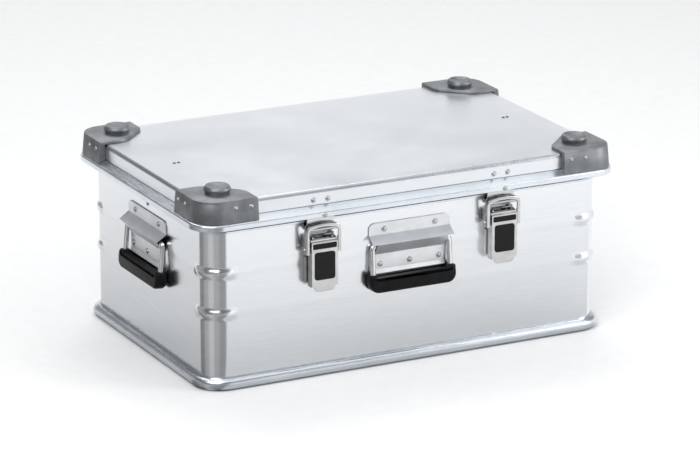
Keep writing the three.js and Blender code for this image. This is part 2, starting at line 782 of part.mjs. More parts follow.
function buildStrapFittings(name, side) {
  const top = lidTop - sheet - gap;
  const { x, half, depth, drop, sheet: t } = strapBracket;
  const hanger = join(
    new THREE.BoxGeometry(2 * half, 2 * depth, t).translate(side * x, 0, top - t / 2),
    new THREE.BoxGeometry(t, 2 * depth, drop).translate(side * (x + half - t / 2), 0, top - drop / 2),
    new THREE.BoxGeometry(t, 2 * depth, drop).translate(side * (x - half + t / 2), 0, top - drop / 2),
  );
  piece(group, name + '_strap_bracket', hanger, 'bracket');
  const inside = wallHalfX - rimLip - gap;
  const anchor = new THREE.BoxGeometry(strapAnchor.sheet, 2 * strapAnchor.half, 2 * strapAnchor.reach)
    .translate(side * (inside - strapAnchor.sheet / 2), 0, strapAnchor.height);
  piece(group, name + '_strap_anchor', anchor, 'bracket');

  // Strap, folded into one hanging loop while the lid is shut.
  const outerX = inside - strapAnchor.sheet - gap - strap.sheet / 2;
  const loop = (outerX - x) / 2;
  const low = strap.bend;
  const web = new THREE.Shape();
  web.moveTo(outerX + strap.sheet / 2, strapAnchor.height + strapAnchor.reach - 3);
  web.lineTo(outerX - strap.sheet / 2, strapAnchor.height + strapAnchor.reach - 3);
  web.absarc(x + loop, low, loop - strap.sheet / 2, 0, Math.PI, true);
  web.lineTo(x + strap.sheet / 2, top - t - gap);
  web.lineTo(x - strap.sheet / 2, top - t - gap);
  web.absarc(x + loop, low, loop + strap.sheet / 2, Math.PI, 2 * Math.PI);
  const folded = new THREE.ExtrudeGeometry(web, { depth: 2 * strap.half, bevelEnabled: false, curveSegments: 8 })
    .rotateX(Math.PI / 2)
    .translate(0, strap.half, 0);
  if (side < 0) folded.rotateZ(Math.PI);
  piece(group, name + '_strap', folded, 'strap');
}

// ---------------------------------------------------------------- assembly

// A frame on the outside of a wall: X along it, Y outward.
function onWall(x, y, turn) {
  const place = new THREE.Group();
  place.position.set(x, y, 0);
  place.rotation.z = turn;
  group.add(place);
  return place;
}

buildBody();
buildLid();
buildCorners();
buildHandle('front', onWall(0, -wallHalfY, Math.PI));
buildHandle('left', onWall(-wallHalfX, 0, Math.PI / 2));
buildHandle('right', onWall(wallHalfX, 0, -Math.PI / 2));
buildLatch('left', onWall(-latchOffset, -wallHalfY, Math.PI));
buildLatch('right', onWall(latchOffset, -wallHalfY, Math.PI));
buildHinge('left', onWall(-hingeOffset, wallHalfY, 0));
buildHinge('right', onWall(hingeOffset, wallHalfY, 0));
buildStrapFittings('left', -1);
buildStrapFittings('right', 1);

export default group;
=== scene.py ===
# %% [markdown]
# # Aluminium stacking transport case
# A riveted case of rolled aluminium sheet. Extruded profiles edge the foot and the lid, cast corners
# carry the next case in a stack, and pressed steel fittings are riveted on.
# The CAD frame gives every size and place. Lengths here are in millimetres until a mesh is made.

# %% Load the frame
import json
from math import asin, cos, pi, radians, sin

import bmesh
import bpy
from mathutils import Matrix, Vector


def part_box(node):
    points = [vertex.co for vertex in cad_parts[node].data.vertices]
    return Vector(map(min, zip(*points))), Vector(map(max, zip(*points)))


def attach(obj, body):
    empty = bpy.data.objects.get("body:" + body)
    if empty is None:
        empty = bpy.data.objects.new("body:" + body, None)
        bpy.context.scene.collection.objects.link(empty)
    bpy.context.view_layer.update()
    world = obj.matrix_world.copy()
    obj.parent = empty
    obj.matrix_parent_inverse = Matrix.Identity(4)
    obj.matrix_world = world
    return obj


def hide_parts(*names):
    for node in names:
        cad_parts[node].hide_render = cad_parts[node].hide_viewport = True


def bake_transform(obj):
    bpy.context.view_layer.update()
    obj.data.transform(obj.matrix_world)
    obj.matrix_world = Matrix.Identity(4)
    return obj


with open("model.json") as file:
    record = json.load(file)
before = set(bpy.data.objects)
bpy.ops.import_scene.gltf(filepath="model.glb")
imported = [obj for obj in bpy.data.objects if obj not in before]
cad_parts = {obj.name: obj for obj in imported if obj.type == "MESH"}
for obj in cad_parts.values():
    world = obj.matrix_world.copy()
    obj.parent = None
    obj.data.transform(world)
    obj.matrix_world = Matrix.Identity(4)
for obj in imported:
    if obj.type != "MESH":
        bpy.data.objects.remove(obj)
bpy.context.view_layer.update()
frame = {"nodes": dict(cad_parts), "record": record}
MM = 0.001


def place(node):
    """A CAD node's lowest and highest corners, in millimetres."""
    low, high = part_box(node)
    return low / MM, high / MM


brim_low, brim_high = place("lid_frame")
wall_low, wall_high = place("body_shell")
lid_low, lid_high = place("lid_panel")
PANEL_GAP = 1.8  # from the base panel's edge to the outside of the wall
WALL_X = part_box("base_panel")[1].x / MM + PANEL_GAP
WALL_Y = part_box("base_panel")[1].y / MM + PANEL_GAP
BRIM_X, BRIM_Y = brim_high.x, brim_high.y
LID_X, LID_Y = lid_high.x, lid_high.y
WALL_R, BRIM_R, LID_R = 28, 35, 23  # corner radii, outside
SHEET = 1.5  # the wall's and the lid's thickness
LATCH_X = 128.5  # each latch's distance from the middle
HINGE_X = 175  # and each hinge's
print("wall", round(WALL_X, 1), round(WALL_Y, 1), "brim", round(BRIM_X, 1), round(BRIM_Y, 1))

# %% [markdown]
# ## Camera
# The camera stands a little left of the front, with a long lens, so verticals stay vertical.

# %% Camera
AZIMUTH, ELEVATION, DISTANCE = radians(-26.97), radians(17.20), 4.9758
TARGET = Vector((0.01014, 0.00363, 0.125))
back = Vector((
    sin(AZIMUTH) * cos(ELEVATION),
    -cos(AZIMUTH) * cos(ELEVATION),
    sin(ELEVATION),
))
camera = bpy.data.objects.new("camera", bpy.data.cameras.new("camera"))
bpy.context.collection.objects.link(camera)
camera.location = TARGET + back * DISTANCE
camera.rotation_euler = back.to_track_quat("Z", "Y").to_euler()
SENSOR, SENSOR_WIDTHS_AWAY = 36, 3786.2 / 700
camera.data.sensor_width = SENSOR
camera.data.lens = SENSOR * SENSOR_WIDTHS_AWAY
bpy.context.scene.camera = camera
bpy.context.scene.view_settings.view_transform = "Standard"
print("camera", round(camera.data.lens), "mm lens,", DISTANCE, "m away")

# %% [markdown]
# ## Light
# A soft studio. Broad lights hang above, behind and at both sides. The backdrop is white low down and
# grey above, so that the metal has light and dark to reflect.


# %% Light
LIGHTS_AIM = Vector((0, 0, 0.15))


def soft_light(name, at, size, watts):
    """A rectangular light at a place, turned to the case."""
    data = bpy.data.lights.new(name, "AREA")
    data.shape = "RECTANGLE"
    data.size, data.size_y = size
    data.energy = watts
    lamp = bpy.data.objects.new(name, data)
    bpy.context.collection.objects.link(lamp)
    lamp.location = at
    lamp.rotation_euler = (Vector(at) - LIGHTS_AIM).to_track_quat("Z", "Y").to_euler()


soft_light("light_top", (0.2, 0.1, 2.6), (4.4, 3.4), 34)
soft_light("light_left", (-1.9, -1.5, 2.5), (2.4, 2.0), 54)
soft_light("light_back", (0.6, 3.0, 3.8), (3.6, 2.0), 54)
soft_light("light_right", (2.4, -1.9, 1.5), (1.4, 1.4), 30)

world = bpy.data.worlds.new("studio")
bpy.context.scene.world = world
world.use_nodes = True
sky = world.node_tree
sky_at = sky.nodes.new("ShaderNodeTexCoord")
sky_split = sky.nodes.new("ShaderNodeSeparateXYZ")
sky.links.new(sky_at.outputs["Generated"], sky_split.inputs[0])
sky_ramp = sky.nodes.new("ShaderNodeValToRGB")
for position, grey in ((0.29, 1.0), (0.38, 0.42), (0.44, 0.30), (0.9, 0.42)):
    stop = sky_ramp.color_ramp.elements.new(position)
    stop.color = (grey * 0.97, grey * 0.985, grey, 1)
sky_ramp.color_ramp.elements[0].color = (1, 1, 1, 1)
sky_ramp.color_ramp.elements[-1].color = (0.42, 0.43, 0.45, 1)
sky.links.new(sky_split.outputs["Z"], sky_ramp.inputs[0])
# The room is dark on the camera's side, and dim on the left behind the case.
seen = sky_ramp.outputs[0]
for direction, darkest in (((-0.62, -0.78, 0), 0.36), ((-0.85, 0.53, 0), 0.38)):
    towards = sky.nodes.new("ShaderNodeVectorMath")
    towards.operation = "DOT_PRODUCT"
    towards.inputs[1].default_value = direction
    sky.links.new(sky_at.outputs["Generated"], towards.inputs[0])
    falloff = sky.nodes.new("ShaderNodeMapRange")
    for label, value in (("From Min", 0.35), ("From Max", 0.8), ("To Min", 1.0), ("To Max", darkest)):
        falloff.inputs[label].default_value = value
    sky.links.new(towards.outputs["Value"], falloff.inputs["Value"])
    dim = sky.nodes.new("ShaderNodeVectorMath")
    dim.operation = "SCALE"
    sky.links.new(seen, dim.inputs[0])
    sky.links.new(falloff.outputs[0], dim.inputs["Scale"])
    seen = dim.outputs[0]
sky.links.new(seen, sky.nodes["Background"].inputs["Color"])
sky.nodes["Background"].inputs["Strength"].default_value = 1.0
print(len(bpy.data.lights), "lights and a room of", len(sky.nodes), "nodes")

# %% [markdown]
# ## Building blocks for meshes
# Most pieces are a loop of points extruded from station to station, the way the real profiles are
# drawn through a die. The same step makes a ring round the case, a bent wire and a cast corner.


# %% Mesh helpers
MERGE = 1e-7  # metres, closer points are one point
SWELL_SHARES = [0.25, 0.5, 0.75]  # stations along the straight where a bead fades out


def loft(bm, loops, wrap=False):
    """Extrude a closed loop of points through a list of loops with the same number of points."""
    count = len(loops[0])
    first = [bm.verts.new(Vector(p) * MM) for p in loops[0]]
    edges = [bm.edges.new((first[i], first[(i + 1) % count])) for i in range(count)]
    ring = first
    for loop in loops[1:] + ([loops[0]] if wrap else []):
        made = bmesh.ops.extrude_edge_only(bm, edges=edges)["geom"]
        fresh = {g for g in made if isinstance(g, bmesh.types.BMVert)}
        after = []
        for vert, point in zip(ring, loop):
            twin = next(e.other_vert(vert) for e in vert.link_edges if e.other_vert(vert) in fresh)
            twin.co = Vector(point) * MM
            after.append(twin)
        edges = [bm.edges.get((after[i], after[(i + 1) % count])) for i in range(count)]
        ring = after
    if wrap:
        bmesh.ops.remove_doubles(bm, verts=first + ring, dist=MERGE)
    else:
        bm.faces.new(first)
        bm.faces.new(ring)


def lathe(bm, profile, centre, axis, segments=24):
    """Spin a profile of (radius, height) points round an axis. Points made before are tagged."""
    turn = Vector((0, 0, 1)).rotation_difference(Vector(axis)).to_matrix()
    line = [bm.verts.new((r * MM, 0, h * MM)) for r, h in profile]
    edges = [bm.edges.new(pair) for pair in zip(line, line[1:])]
    bmesh.ops.spin(bm, geom=line + edges, axis=(0, 0, 1), cent=(0, 0, 0), steps=segments,
                   angle=2 * pi, use_merge=True)
    verts = [v for v in bm.verts if v.link_faces and not v.tag]
    bmesh.ops.remove_doubles(bm, verts=verts, dist=MERGE)
    for v in [v for v in bm.verts if not v.tag]:
        v.co = turn @ v.co + Vector(centre) * MM
        v.tag = True


def stations(half_x, half_y, radius, steps=16, run_out=0):
    """Places round a rounded rectangle: bend centre, outward direction, radius, bead weight."""
    found = []
    shares = [0] + SWELL_SHARES if run_out else []
    for quarter, (sx, sy) in enumerate(((1, 1), (-1, 1), (-1, -1), (1, -1))):
        cx, cy = sx * (half_x - radius), sy * (half_y - radius)
        start = quarter * pi / 2
        before = [(start, -run_out * (1 - s), s) for s in shares]
        bend = [(start + k / steps * pi / 2, 0, 1) for k in range(steps + 1)]
        after = [(start + pi / 2, run_out * (1 - s), s) for s in shares[::-1]]
        for angle, along, weight in before + bend + after:
            found.append((
                Vector((cx - sin(angle) * along, cy + cos(angle) * along, 0)),
                Vector((cos(angle), sin(angle), 0)),
                radius,
                weight * weight * (3 - 2 * weight),
            ))
    return found


def ring(bm, section, places):
    """A closed section of (outward, height, swell) points carried round the case."""
    loops = []
    for centre, out, radius, weight in places:
        points = []
        for point in section:
            reach = radius + point[0] + (point[2] if len(point) > 2 else 0) * weight
            points.append(centre + out * reach + Vector((0, 0, point[1])))
        loops.append(points)
    loft(bm, loops, wrap=True)


def outline(half_x, half_y, radius, height, steps=16):
    """A rounded rectangle as one level loop."""
    return [centre + out * reach + Vector((0, 0, height))
            for centre, out, reach, _ in stations(half_x, half_y, radius, steps)]


def arc(cx, cy, radius, start, end, steps):
    """Points along an arc, angles in degrees."""
    return [(cx + radius * cos(radians(start + (end - start) * k / steps)),
             cy + radius * sin(radians(start + (end - start) * k / steps))) for k in range(steps + 1)]


def finish_piece(bm, name, body, material, replaces=(), bevel=0.0, sharp=35):
    """Close the mesh, shade it, give it its material and tie it to its body."""
    bmesh.ops.recalc_face_normals(bm, faces=bm.faces)
    mesh = bpy.data.meshes.new(name)
    bm.to_mesh(mesh)
    bm.free()
    mesh.shade_smooth()
    mesh.set_sharp_from_angle(angle=radians(sharp))
    piece = bpy.data.objects.new(name, mesh)
    bpy.context.collection.objects.link(piece)
    piece.data.materials.append(material)
    if bevel:
        edge = piece.modifiers.new("edges", "BEVEL")
        edge.width = bevel * MM
        edge.segments = 2
        edge.limit_method = "ANGLE"
        edge.angle_limit = radians(sharp)
        edge.harden_normals = True
    if body:
        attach(piece, body)
    if replaces:
        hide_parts(*replaces)
    print(name, len(mesh.vertices), "points")
    return piece


def on_wall(x, y, turn):
    """A frame on the outside of a wall: X along it, Y outward, Z up."""
    return Matrix.Translation((x, y, 0)) @ Matrix.Rotation(turn, 4, "Z")


# %% [markdown]
# ## Surfaces
# Each effect that more than one metal shares is a node group that works in object space, so it keeps
# its scale on every piece. Colour, roughness and bump stay in each material.


# %% Node groups
def group(name, inputs, outputs):
    """An empty node group with its input and output nodes."""
    tree = bpy.data.node_groups.new(name, "ShaderNodeTree")
    for label, value in inputs:
        socket = tree.interface.new_socket(label, in_out="INPUT", socket_type="NodeSocketFloat")
        socket.default_value = value
    for label in outputs:
        tree.interface.new_socket(label, in_out="OUTPUT", socket_type="NodeSocketFloat")
    return tree, tree.nodes.new("NodeGroupInput"), tree.nodes.new("NodeGroupOutput")


def add(tree, kind, values=None, **settings):
    """A new node, with its settings and its sockets' values."""
    node = tree.nodes.new(kind)
    for key, value in settings.items():
        setattr(node, key, value)
    for key, value in (values or {}).items():
        node.inputs[key].default_value = value
    return node


def stretched(tree, stretch):
    """Object coordinates, scaled along each axis."""
    at = add(tree, "ShaderNodeTexCoord")
    scale = add(tree, "ShaderNodeMapping", {"Scale": stretch})
    tree.links.new(at.outputs["Object"], scale.inputs["Vector"])
    return scale.outputs[0]


# Rolled sheet: long faint streaks and cloudy patches.
rolled, rolled_in, rolled_out = group("rolled sheet", [("Streaks", 900), ("Clouds", 9)],
                                      ["Streak", "Cloud"])
fine = add(rolled, "ShaderNodeTexNoise", {"Detail": 4})
rolled.links.new(stretched(rolled, (0.03, 0.03, 1)), fine.inputs["Vector"])
rolled.links.new(rolled_in.outputs["Streaks"], fine.inputs["Scale"])
broad = add(rolled, "ShaderNodeTexNoise", {"Detail": 5, "Roughness": 0.6})
rolled.links.new(stretched(rolled, (1, 1, 1.6)), broad.inputs["Vector"])
rolled.links.new(rolled_in.outputs["Clouds"], broad.inputs["Scale"])
rolled.links.new(fine.outputs["Fac"], rolled_out.inputs["Streak"])
rolled.links.new(broad.outputs["Fac"], rolled_out.inputs["Cloud"])

# Grain: the fine tooth of sand casting, moulded plastic or foam.
grain, grain_in, grain_out = group("grain", [("Scale", 900)], ["Tooth", "Mottle"])
tooth = add(grain, "ShaderNodeTexNoise", {"Detail": 3, "Roughness": 0.65})
mottle = add(grain, "ShaderNodeTexNoise", {"Scale": 45, "Detail": 4})
at_point = stretched(grain, (1, 1, 1))
for noise in (tooth, mottle):
    grain.links.new(at_point, noise.inputs["Vector"])
grain.links.new(grain_in.outputs["Scale"], tooth.inputs["Scale"])
grain.links.new(tooth.outputs["Fac"], grain_out.inputs["Tooth"])
grain.links.new(mottle.outputs["Fac"], grain_out.inputs["Mottle"])
print("groups", rolled.name, "and", grain.name)


# %% [markdown]
# ## Materials
# Every material but the webbing and the grey card is made the same way: one of the groups mixes two
# colours, varies the roughness and, where the surface has relief, drives the bump.


# %% Material helper
def material(name, group_tree, tone, height, dark, light, rough, metallic, bump=0.0, scale=None,
             coat=0.0):
    """Tone mixes the colours dark and light; height drives the roughness and a bump in millimetres."""
    made = bpy.data.materials.new(name)
    made.use_nodes = True
    tree = made.node_tree
    shader = tree.nodes["Principled BSDF"]
    effect = add(tree, "ShaderNodeGroup", node_tree=group_tree)
    for key, value in (scale or {}).items():
        effect.inputs[key].default_value = value
    spread = add(tree, "ShaderNodeMapRange", {"From Min": 0.35, "From Max": 0.65})
    tree.links.new(effect.outputs[tone], spread.inputs["Value"])
    colour = add(tree, "ShaderNodeMix", data_type="RGBA")
    colour.inputs["A"].default_value = (*dark, 1)
    colour.inputs["B"].default_value = (*light, 1)
    tree.links.new(spread.outputs[0], colour.inputs["Factor"])
    tree.links.new(colour.outputs["Result"], shader.inputs["Base Color"])
    gloss = add(tree, "ShaderNodeMapRange", {"From Min": 0.3, "From Max": 0.7,
                                             "To Min": rough[0], "To Max": rough[1]})
    tree.links.new(effect.outputs[height], gloss.inputs["Value"])
    tree.links.new(gloss.outputs[0], shader.inputs["Roughness"])
    if bump:
        relief = add(tree, "ShaderNodeBump", {"Strength": 1.0, "Distance": bump * MM})
        tree.links.new(effect.outputs[height], relief.inputs["Height"])
        tree.links.new(relief.outputs[0], shader.inputs["Normal"])
    shader.inputs["Metallic"].default_value = metallic
    shader.inputs["Coat Weight"].default_value = coat
    return made


# %% [markdown]
# The metals, from the dull casting to the bright latch, then the plastics, rubber and webbing.

# %% Materials
WALL = material("wall", rolled, "Streak", "Streak", (0.785, 0.81, 0.835), (0.865, 0.885, 0.905),
                (0.15, 0.25), 1, 0.003)
PROFILE = material("profile", rolled, "Cloud", "Streak", (0.69, 0.73, 0.78), (0.78, 0.82, 0.87),
                   (0.2, 0.3), 1, 0.0006, {"Clouds": 14})
LID = material("lid", rolled, "Cloud", "Cloud", (0.79, 0.82, 0.85), (0.84, 0.865, 0.89), (0.27, 0.35), 1)
# Painted shade: a darker copy of the lid's metal for the rounded bend of the lid sheet, where it mirrors
# the darker room.
LID_BEND_SHADE = material("lid_bend_painted_shade", rolled, "Cloud", "Cloud", (0.44, 0.47, 0.50), (0.52, 0.55, 0.58),
                    (0.24, 0.32), 1)
SCREW = material("screw", rolled, "Cloud", "Cloud", (0.09, 0.09, 0.10), (0.14, 0.14, 0.15),
                 (0.4, 0.5), 0.8)
CASTING = material("casting", grain, "Mottle", "Tooth", (0.172, 0.182, 0.192), (0.255, 0.265, 0.275),
                   (0.36, 0.55), 0.85, 0.10)
BRACKET = material("bracket", rolled, "Cloud", "Streak", (0.75, 0.765, 0.785), (0.85, 0.865, 0.88),
                   (0.38, 0.5), 1, 0.003, {"Clouds": 30})
WIRE = material("wire", rolled, "Cloud", "Streak", (0.74, 0.74, 0.75), (0.84, 0.84, 0.85),
                (0.12, 0.2), 1, 0.0, {"Clouds": 40})
LATCH = material("latch", rolled, "Cloud", "Cloud", (0.56, 0.56, 0.56), (0.68, 0.68, 0.68), (0.07, 0.18),
                 1, 0.0, {"Clouds": 60})
RIVET = material("rivet", rolled, "Cloud", "Streak", (0.42, 0.43, 0.44), (0.56, 0.57, 0.58),
                 (0.14, 0.24), 1, 0.0, {"Clouds": 80})
GRIP = material("grip", grain, "Mottle", "Tooth", (0.004, 0.004, 0.005), (0.009, 0.009, 0.010),
                (0.28, 0.42), 0, 0.02, {"Scale": 1500})
LABEL = material("label", grain, "Mottle", "Mottle", (0.004, 0.004, 0.004), (0.007, 0.007, 0.008),
                 (0.25, 0.35), 0, coat=0.2)
for soft_black in (GRIP, LABEL):
    shader = soft_black.node_tree.nodes["Principled BSDF"]
    shader.inputs["Specular IOR Level"].default_value = 0.12
SEAL = material("seal", grain, "Mottle", "Tooth", (0.02, 0.02, 0.022), (0.035, 0.035, 0.04),
                (0.7, 0.9), 0, 0.1)
FLOOR = material("floor", grain, "Mottle", "Mottle", (0.90, 0.90, 0.90), (0.92, 0.92, 0.92),
                 (0.6, 0.7), 0)
print(len(bpy.data.materials), "materials")

# %% [markdown]
# The webbing is woven: crossed ribs in a plain weave, raised where a thread passes on top.

# %% Webbing material
STRAP = bpy.data.materials.new("strap")
STRAP.use_nodes = True
weave = STRAP.node_tree
ribs = add(weave, "ShaderNodeTexWave", {"Scale": 260, "Distortion": 0.2}, bands_direction="Y")
rows = add(weave, "ShaderNodeTexWave", {"Scale": 180, "Distortion": 0.2}, bands_direction="Z")
for band in (ribs, rows):
    weave.links.new(stretched(weave, (1, 1, 1)), band.inputs["Vector"])
crossing = add(weave, "ShaderNodeMath", operation="MULTIPLY")
weave.links.new(ribs.outputs["Fac"], crossing.inputs[0])
weave.links.new(rows.outputs["Fac"], crossing.inputs[1])
thread = add(weave, "ShaderNodeMix", data_type="RGBA")
thread.inputs["A"].default_value = (0.012, 0.012, 0.014, 1)
thread.inputs["B"].default_value = (0.05, 0.05, 0.055, 1)
raised = add(weave, "ShaderNodeBump", {"Distance": 0.3 * MM})
weave.links.new(crossing.outputs[0], thread.inputs["Factor"])
weave.links.new(crossing.outputs[0], raised.inputs["Height"])
cloth = weave.nodes["Principled BSDF"]
weave.links.new(thread.outputs["Result"], cloth.inputs["Base Color"])
weave.links.new(raised.outputs[0], cloth.inputs["Normal"])
cloth.inputs["Roughness"].default_value = 0.85
print("strap has", len(weave.nodes), "nodes")

# %% [markdown]
# ## Floor
# One wide plate just under the foot.

# %% Floor
FLOOR_HALF, FLOOR_R, FLOOR_TOP, FLOOR_UNDER = 4000, 200, -0.2, -20
bm = bmesh.new()
loft(bm, [outline(FLOOR_HALF, FLOOR_HALF, FLOOR_R, z) for z in (FLOOR_TOP, FLOOR_UNDER)])
floor = finish_piece(bm, "floor", None, FLOOR)

# %% [markdown]
# Studio cards shape what the bright metal mirrors. They lie on the floor, and only reflections see
# them. A grey one darkens towards the foot of the case, painted shade for the floor's shadow round the
# case, which grades the walls from bright at the top to grey below. A fan of dark ones round the front
# left corner draws its bend.


# %% Reflection cards
CARD = 0.3  # thickness
GREY_HEIGHT, DARK_HEIGHT = 0.4, 1.2
FADE_FROM, FADE_OVER = (0.281, 0.181, 0), 0.62  # metres
FAN_INSET, FAN_NEAR, FAN_FAR = 10, 12, 3000


def card(name, shape, surface, height):
    """A flat shape at a height over the floor, seen by reflections only."""
    bm = bmesh.new()
    loft(bm, [[(x, y, z) for x, y in shape] for z in (height, height - CARD)])
    made = finish_piece(bm, name, None, surface)
    made.visible_camera = made.visible_shadow = made.visible_diffuse = False


GREY_CARD = bpy.data.materials.new("grey_card")
GREY_CARD.use_nodes = True
fade = GREY_CARD.node_tree
near = add(fade, "ShaderNodeTexCoord")
link = near.outputs["Object"]
for operation, constant in (
        ("ABSOLUTE", None), ("SUBTRACT", FADE_FROM), ("MAXIMUM", (0, 0, 0)), ("LENGTH", None)):
    step = add(fade, "ShaderNodeVectorMath", operation=operation)
    fade.links.new(link, step.inputs[0])
    if constant:
        step.inputs[1].default_value = constant
    link = step.outputs["Value" if operation == "LENGTH" else 0]
# Painted shade: the card is darkest next to the case's foot and lighter further out.
away = add(fade, "ShaderNodeMapRange", {"From Max": FADE_OVER, "To Min": 0.60, "To Max": 0.9})
fade.links.new(link, away.inputs["Value"])
matt = fade.nodes["Principled BSDF"]
fade.links.new(away.outputs[0], matt.inputs["Base Color"])
matt.inputs["Roughness"].default_value = 0.9
card("grey_card", [(1200, -181), (-281, -181), (-281, 1100), (-1200, 1100), (-1200, -1300),
                   (1200, -1300)], GREY_CARD, GREY_HEIGHT)

for name, start, stop, tone in (
        ("a", 128, 160, 0.19), ("b", 160, 188, 0.32), ("c", 188, 218, 0.46), ("d", 218, 248, 0.32),
        ("e", 248, 284, 0.24)):
    dark = material("dark_card_" + name, grain, "Mottle", "Mottle", (tone,) * 3, (tone * 1.02,) * 3,
                    (0.8, 0.9), 0)
    sector = [(-WALL_X + FAN_INSET + r * cos(radians(angle)),
               -WALL_Y + FAN_INSET + r * sin(radians(angle)))
              for r, angle in ((FAN_NEAR, start), (FAN_FAR, start), (FAN_FAR, stop), (FAN_NEAR, stop))]
    card("dark_card_" + name, sector, dark, DARK_HEIGHT)

# %% [markdown]
# ## Case wall
# One sheet goes round the four corners. Two short beads are pressed out at each corner to stiffen it,
# and they fade out on the flat sides.

# %% Case wall
BEADS = (98, 151)  # heights
BEAD_HALF, BEAD_EDGE, BEAD_RISE, BEAD_RUN_OUT, BEAD_STEPS = 9, 9.5, 3, 14, 6
WALL_STEPS = 20  # points round a quarter turn
beaded = stations(WALL_X, WALL_Y, WALL_R, WALL_STEPS, BEAD_RUN_OUT)
outside = [(0, wall_low.z, 0)]
for middle in BEADS:
    outside.append((0, middle - BEAD_EDGE, 0))
    for k in range(2 * BEAD_STEPS + 1):
        share = -1 + k / BEAD_STEPS
        swell = BEAD_RISE * (0.5 + 0.5 * cos(share * pi)) ** 0.8
        outside.append((0, middle + share * BEAD_HALF, swell))
    outside.append((0, middle + BEAD_EDGE, 0))
outside.append((0, wall_high.z, 0))
inside = [(-SHEET, z, swell) for _, z, swell in outside[::-1]]
bm = bmesh.new()
ring(bm, outside + inside, beaded)
finish_piece(bm, "case_wall", "case", WALL, ["body_shell"])

# %% [markdown]
# ## Foot frame and rim
# The foot is an extrusion with a half round nose. Its slot grips the wall, and its inner flange
# carries the base panel. The rim on top is a flat flange with a lip inside the wall.

# %% Foot frame and rim
NOSE_R, NOSE_X = 7.75, 2.25
plain = stations(WALL_X, WALL_Y, WALL_R, WALL_STEPS)
bm = bmesh.new()
nose = arc(NOSE_X, NOSE_R, NOSE_R, -90, 90, 12)
ring(bm, [(-4, 0), *nose, (0.3, 15.5), (0.3, 3.7), (-1.8, 3.7), (-1.8, 14.5), (-16, 14.5), (-16, 12),
          (-4, 12)], plain)
finish_piece(bm, "foot_frame", "case", PROFILE, ["base_frame"], 0.4)
rim_low, rim_high = place("body_rim")
bm = bmesh.new()
under = rim_high.z - 2.7
ring(bm, [(-14, under), (-4, under), (-4, rim_low.z), (-1.8, rim_low.z), (-1.8, under), (1.5, under),
          (1.5, rim_high.z), (-14, rim_high.z)], plain)
finish_piece(bm, "case_rim", "case", PROFILE, ["body_rim"], 0.3)

# %% [markdown]
# ## Lid
# The brim is an extrusion: a flange that sits on the seal, a web inside the skirt, a slope and a
# rounded shoulder that drops into a lip. The panel is one sheet with its skirt folded down.

# %% Lid
low, top = brim_low.z, brim_high.z
around = stations(BRIM_X, BRIM_Y, BRIM_R, 24)
slope_foot, ledge, lip = 220.5, 226, 212.6
shoulder = arc(-2.6, 218, 2.6, 0, 68, 6)
bm = bmesh.new()
ring(bm, [(-33, low), (-13.8, low), (-13.8, ledge - 3.1), (-4, slope_foot - 2.6), (-2, 216),
          (-2, lip + 0.6), (-1.4, lip), (-0.4, lip), (0, lip + 0.6), *shoulder, (-12, ledge),
          (-13.8, ledge), (-13.8, top), (-16, top), (-16, low + 2.2), (-33, low + 2.2)], around)
finish_piece(bm, "lid_brim", "lid", PROFILE, ["lid_frame"], 0.25, 28)

LID_BEND = 5
BEND_NORMALS = (0.2, 0.97)  # a face is on the bend if its normal's height is between these
bm = bmesh.new()
skirt = lid_low.z + 0.6
levels = [(LID_BEND, lid_high.z - SHEET), (1.8, lid_high.z - 4), (SHEET, lid_high.z - 5.5),
          (SHEET, skirt), (0, skirt)]
levels += [(LID_BEND - x, lid_high.z - LID_BEND + z) for x, z in arc(0, 0, LID_BEND, 0, 90, 9)]
loft(bm, [outline(LID_X - d, LID_Y - d, LID_R - d, z, 20) for d, z in levels])
panel = finish_piece(bm, "lid_sheet", "lid", LID, ["lid_panel"], 0, 50)
# Faces on the bend take the darker copy, painted shade on the same sheet.
panel.data.materials.append(LID_BEND_SHADE)
for face in panel.data.polygons:
    face.material_index = int(BEND_NORMALS[0] < face.normal.z < BEND_NORMALS[1])

# %% [markdown]
# ## Stacking corners
# Sand cast, with a leg along each side of the lid, a triangular plate on top and a round boss that
# fits inside the foot of the next case. The casting is built level by level, from the edge that sits
# on the brim's slope to the eased top.


# %% Stacking corners
LEG = 82.0  # length of a leg from the brim's edge
SEAT = 220.9  # height of the casting's lower edge
BOSS_IN = 45  # the boss's centre from both edges of the brim


def corner_level(outer, height, inner_height, inner, end=LEG):
    """One level of a corner casting, in corner coordinates: distances in from the two brim edges."""
    radius = BRIM_R - outer
    bend = [(BRIM_R - radius * sin(radians(a)), BRIM_R - radius * cos(radians(a)), height)
            for a in [90 * k / 16 for k in range(17)]]
    return [(end, outer, height), *bend, (outer, end, height), *[(a, b, inner_height) for a, b in inner]]


def eased(points, radius, steps=4):
    """Round the corners of an open run of points."""
    made = [points[0]]
    for before, here, after in zip(points, points[1:], points[2:]):
        start = Vector(here) + (Vector(before) - Vector(here)).normalized() * radius
        stop = Vector(here) + (Vector(after) - Vector(here)).normalized() * radius
        for k in range(steps + 1):
            t = k / steps
            made.append(tuple((1 - t) ** 2 * start + 2 * t * (1 - t) * Vector(here) + t * t * stop))
    made.append(points[-1])
    return made


def seat_path(inset, count):
    """The inner edge of the legs, along the skirt, with the same number of points as the plate."""
    radius = BRIM_R - inset
    arc_points = [(BRIM_R - radius * sin(radians(a)), BRIM_R - radius * cos(radians(a)))
                  for a in [90 - 90 * k / (count - 3) for k in range(count - 2)]]
    return [(inset, LEG), *arc_points, (LEG, inset)]


def plate_path(shrink):
    """The plate's inner edge, from the end of one leg to the other."""
    end, side, slant, far = LEG - shrink, 37 - shrink, 46 - shrink, 78 - shrink
    return eased([(7, end), (side, end), (slant, far), (far, slant), (end, side), (end, 7)], 3)


